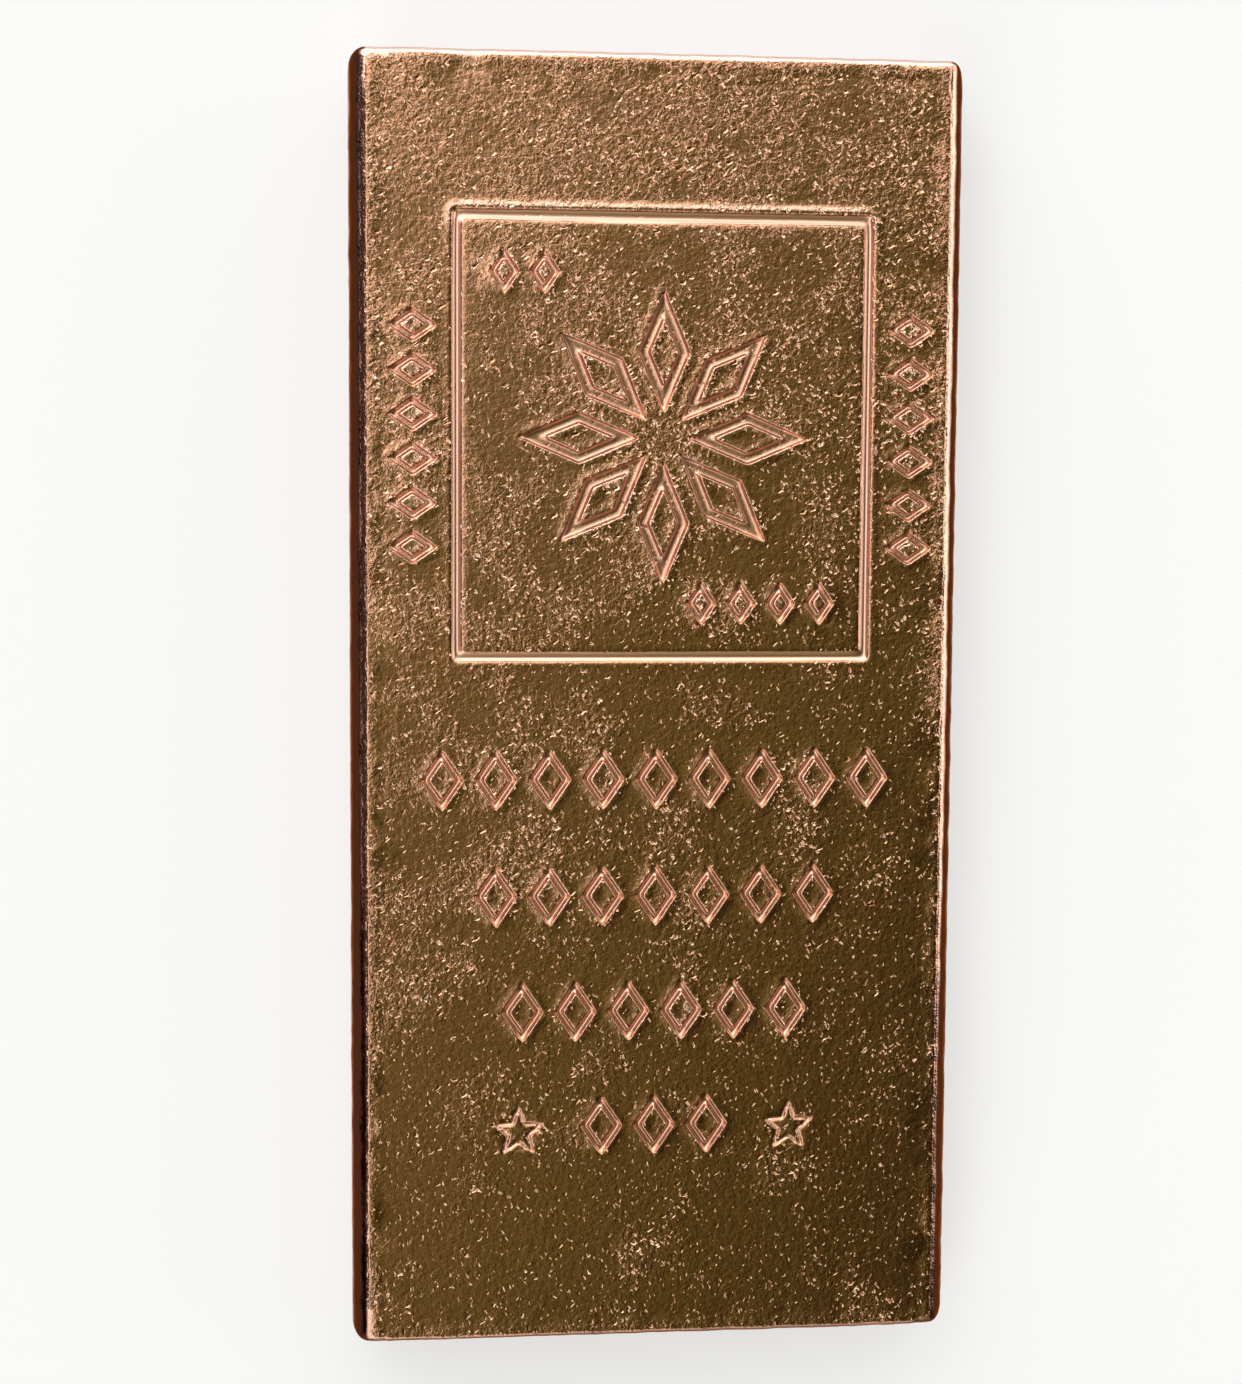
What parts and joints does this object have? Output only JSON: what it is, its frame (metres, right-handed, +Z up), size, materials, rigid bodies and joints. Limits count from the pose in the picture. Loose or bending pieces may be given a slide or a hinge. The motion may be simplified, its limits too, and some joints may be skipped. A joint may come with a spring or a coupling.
{
  "type": "copper ingot",
  "caption": "Flat copper ingot with rounded long edges and a face struck with a frame groove, lozenges and stars; raw stock for stacking, storing or remelting.",
  "frame": {"origin": "centre of the plain back face, on which the ingot lies", "axes": "+Z up out of the struck face, +Y along the length towards the head of the marks, +X to the right of the marks"},
  "size_m": [0.0508, 0.107, 0.0094],
  "materials": {
    "copper": "struck and handled copper, half polished, with fine pits and nicks"
  },
  "bodies": {
    "root": {"ingot": "copper"}
  },
  "joints": []
}
